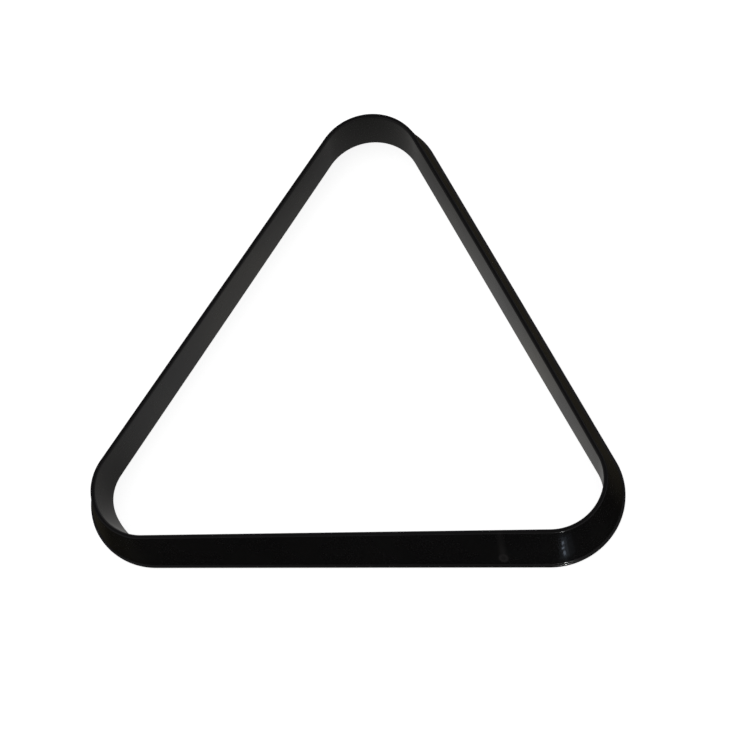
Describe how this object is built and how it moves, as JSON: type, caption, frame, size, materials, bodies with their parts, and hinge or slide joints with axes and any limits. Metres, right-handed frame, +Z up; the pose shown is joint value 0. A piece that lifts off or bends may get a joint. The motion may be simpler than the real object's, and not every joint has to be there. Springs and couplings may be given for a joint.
{
  "type": "billiard triangle rack",
  "caption": "Rigid triangular ring with round corners that gathers and aligns billiard balls on a table before the break.",
  "frame": {"origin": "middle of the footprint on the table: half way along the width and the depth, at the height of the table", "axes": "+Z up; +Y towards the apex corner; +X along the base rail, towards the right corner seen from the base with the apex ahead"},
  "size_m": [0.3128, 0.2823, 0.03],
  "materials": {
    "moulding": "black injection-moulded plastic, smooth and glossy, with faint flow and handling marks"
  },
  "bodies": {
    "root": {"base_rail": "moulding", "left_rail": "moulding", "right_rail": "moulding", "left_corner": "moulding", "right_corner": "moulding", "apex_corner": "moulding"}
  },
  "joints": []
}
